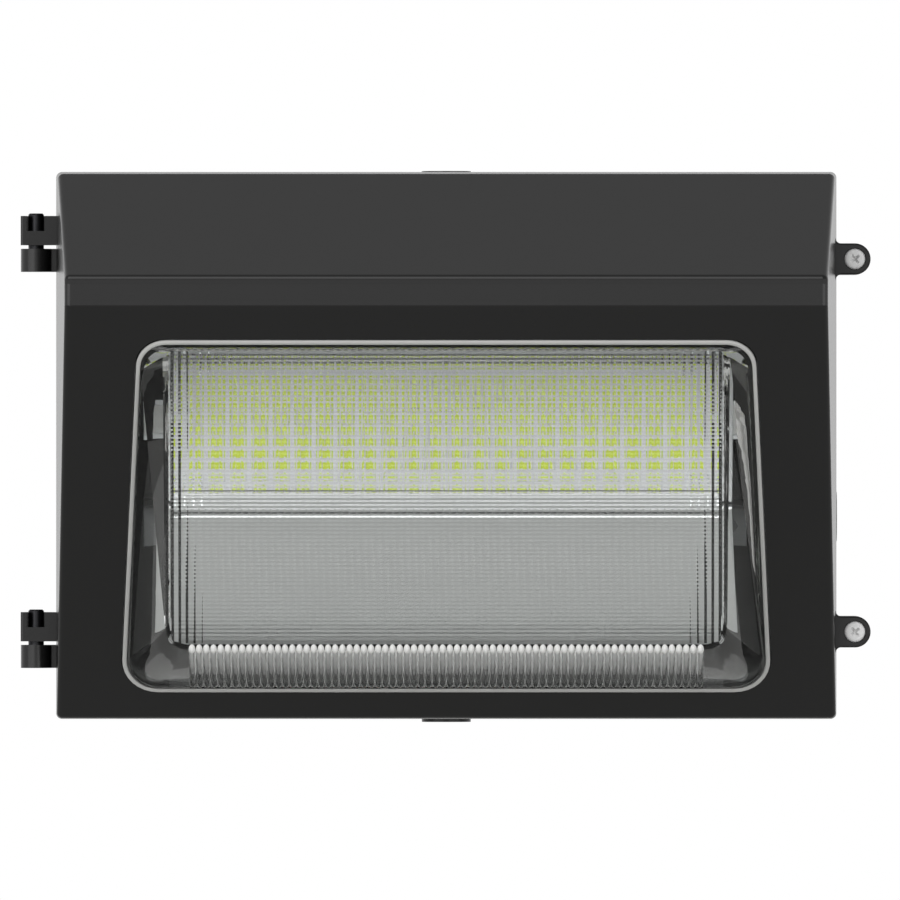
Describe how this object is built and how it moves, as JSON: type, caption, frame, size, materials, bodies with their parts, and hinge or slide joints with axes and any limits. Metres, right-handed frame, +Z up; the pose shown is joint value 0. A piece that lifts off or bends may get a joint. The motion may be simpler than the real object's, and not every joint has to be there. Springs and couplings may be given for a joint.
{
  "type": "wall pack light",
  "caption": "Outdoor wall pack light: wall-mounted housing, hinged wedge cover with a prismatic glass lens, two captive screws, LED module and driver inside.",
  "frame": {"origin": "centre of the four wall fixing holes, on the face that meets the wall", "axes": "+X to the right as seen from the front, +Y into the wall, +Z up"},
  "size_m": [0.3603, 0.188, 0.2343],
  "materials": {
    "black_coat": "gloss powder coat",
    "plug_coat": "semi-gloss coat",
    "prismatic_glass": "clear pressed",
    "silicone": "matt moulded",
    "black_sponge": "matt sponge",
    "black_steel": "black oxide",
    "zinc_steel": "zinc plated",
    "ring_nylon": "moulded",
    "sheet_aluminium": "mill finish",
    "reflector_sheet": "satin anodised",
    "white_board": "solder mask",
    "phosphor": "cast silicone",
    "white_plastic": "moulded",
    "driver_shell": "anodised",
    "black_plastic": "moulded",
    "lead_red": "extruded insulation",
    "lead_black": "extruded insulation",
    "lead_white": "extruded insulation",
    "lead_green": "extruded insulation",
    "nut_orange": "moulded",
    "green_steel": "green passivated"
  },
  "bodies": {
    "housing": {"rear_housing": "black_coat", "conduit_plug_top": "plug_coat", "conduit_plug_bottom": "plug_coat", "conduit_plug_side": "plug_coat", "door_gasket": "black_sponge", "hinge_pins": "black_steel", "led_carrier": "sheet_aluminium", "carrier_screws": "zinc_steel", "led_board": "white_board", "led_rows": "phosphor", "board_screws": "zinc_steel", "board_connectors": "white_plastic", "reflector": "reflector_sheet", "reflector_screws": "zinc_steel", "driver_case": "driver_shell", "driver_end_caps": "black_plastic", "driver_screws": "zinc_steel", "board_leads": "lead_red", "supply_lead_line": "lead_black", "supply_lead_neutral": "lead_white", "ground_lead": "lead_green", "wire_connectors": "nut_orange", "ground_terminal": "zinc_steel", "ground_screw": "green_steel"},
    "door": {"front_cover": "black_coat", "glass_lens": "prismatic_glass", "lens_gasket": "silicone", "lens_clips": "zinc_steel", "lens_clip_screws": "zinc_steel"},
    "ring_upper": {"retaining_ring_upper": "ring_nylon"},
    "ring_lower": {"retaining_ring_lower": "ring_nylon"},
    "screw_upper": {"cover_screw_upper": "zinc_steel"},
    "screw_lower": {"cover_screw_lower": "zinc_steel"}
  },
  "joints": [
    {"name": "door_swing", "type": "hinge", "parent": "housing", "child": "door", "pos_m": [-0.174, -0.0752, 0], "axis": [0, 0, -1], "range_deg": [0, 110]},
    {"name": "upper_back_out", "type": "slide", "parent": "door", "child": "ring_upper", "axis": [0, -1, 0], "range_m": [0, 0.006]},
    {"name": "upper_turn", "type": "hinge", "parent": "ring_upper", "child": "screw_upper", "pos_m": [0.1732, -0.08, 0.079], "axis": [0, -1, 0], "range_deg": [0, 2700]},
    {"name": "lower_back_out", "type": "slide", "parent": "door", "child": "ring_lower", "axis": [0, -1, 0], "range_m": [0, 0.006]},
    {"name": "lower_turn", "type": "hinge", "parent": "ring_lower", "child": "screw_lower", "pos_m": [0.1732, -0.08, -0.079], "axis": [0, -1, 0], "range_deg": [0, 2700]}
  ],
  "couplings": [
    {"joint": "upper_turn", "follows": "upper_back_out", "rad_per_m": 7854},
    {"joint": "lower_turn", "follows": "lower_back_out", "rad_per_m": 7854}
  ]
}
